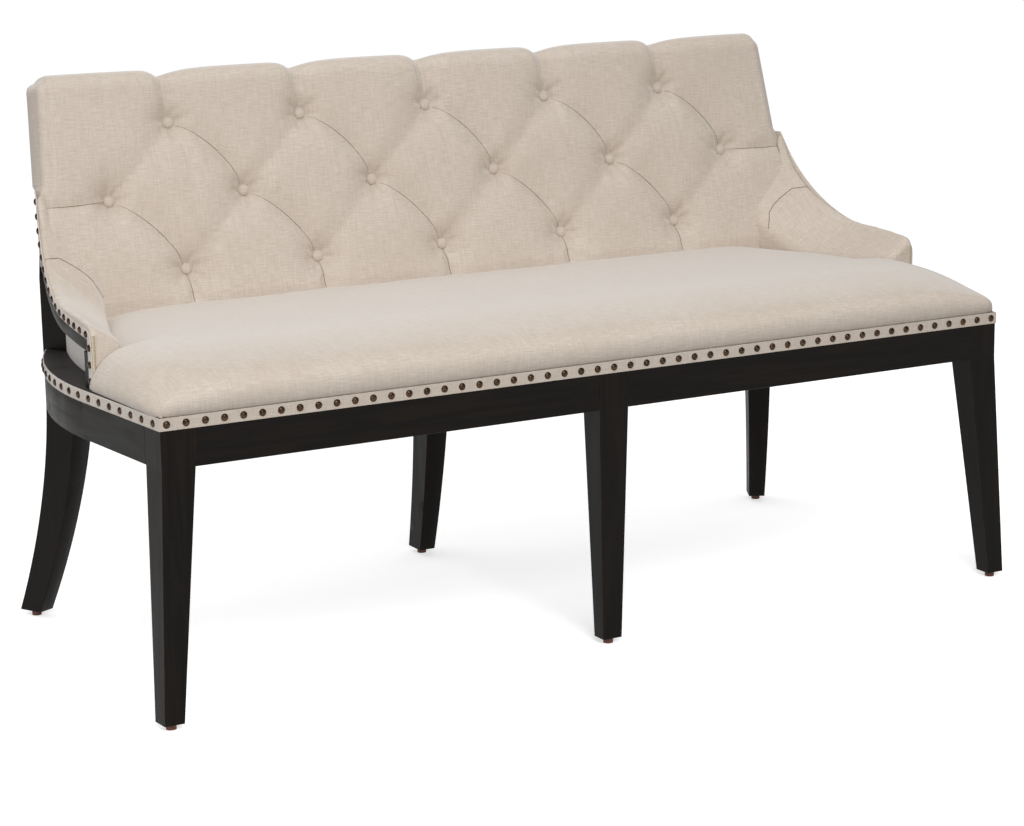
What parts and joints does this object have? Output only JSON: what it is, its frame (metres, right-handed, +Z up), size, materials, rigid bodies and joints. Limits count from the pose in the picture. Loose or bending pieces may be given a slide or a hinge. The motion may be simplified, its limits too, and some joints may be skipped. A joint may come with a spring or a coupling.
{
  "type": "upholstered bench",
  "caption": "Upholstered dining bench with a button-tufted back, low sweeping arms, one tight crowned seat and tapered wooden legs.",
  "frame": {"origin": "under the middle of the overall box, on the floor", "axes": "+X along the bench to the right of a person facing it, +Y from the front to the back, +Z up"},
  "size_m": [1.5534, 0.7092, 0.888],
  "materials": {
    "espresso_wood": "satin, dark espresso stain",
    "ledge_wood": "satin, dark grey-brown stain",
    "frame_wood": "bare hardwood",
    "linen": "oatmeal linen weave",
    "band_fabric": "pale linen band",
    "welt_fabric": "straw-coloured cord",
    "panel_fabric": "pale cloth",
    "webbing": "jute webbing",
    "dust_cloth": "black cambric",
    "bronze_nails": "antique bronze",
    "bolt_steel": "zinc plated",
    "glide_plastic": "reddish brown"
  },
  "bodies": {
    "root": {"front_leg_left": "espresso_wood", "front_leg_right": "espresso_wood", "front_leg_middle": "espresso_wood", "rear_leg_left": "espresso_wood", "rear_leg_right": "espresso_wood", "rear_leg_middle": "espresso_wood", "front_rail_left": "espresso_wood", "front_rail_right": "espresso_wood", "side_rail_left": "espresso_wood", "side_rail_right": "espresso_wood", "rear_rail_left": "espresso_wood", "rear_rail_right": "espresso_wood", "arm_rail_left": "espresso_wood", "arm_rail_right": "espresso_wood", "arm_post_left": "espresso_wood", "arm_post_right": "espresso_wood", "seat_deck": "ledge_wood", "seat_brace_left": "frame_wood", "seat_brace_right": "frame_wood", "seat_brace_middle": "frame_wood", "corner_block_left": "frame_wood", "corner_block_right": "frame_wood", "back_lower_rail": "frame_wood", "back_stile": "frame_wood", "back_top_rail": "frame_wood", "seat_cushion": "linen", "back_cushion": "linen", "back_buttons": "linen", "outside_back": "linen", "arm_pad_left": "linen", "arm_pad_right": "linen", "front_band": "band_fabric", "side_band_left": "band_fabric", "side_band_right": "band_fabric", "arm_band_left": "band_fabric", "arm_band_right": "band_fabric", "arm_welt_left": "welt_fabric", "arm_welt_right": "welt_fabric", "arm_panel_left": "panel_fabric", "arm_panel_right": "panel_fabric", "back_webbing": "webbing", "dust_cover": "dust_cloth", "front_nails": "bronze_nails", "side_nails_left": "bronze_nails", "side_nails_right": "bronze_nails", "arm_nails_left": "bronze_nails", "arm_nails_right": "bronze_nails", "corner_bolt_left": "bolt_steel", "corner_bolt_right": "bolt_steel", "glides": "glide_plastic"}
  },
  "joints": []
}
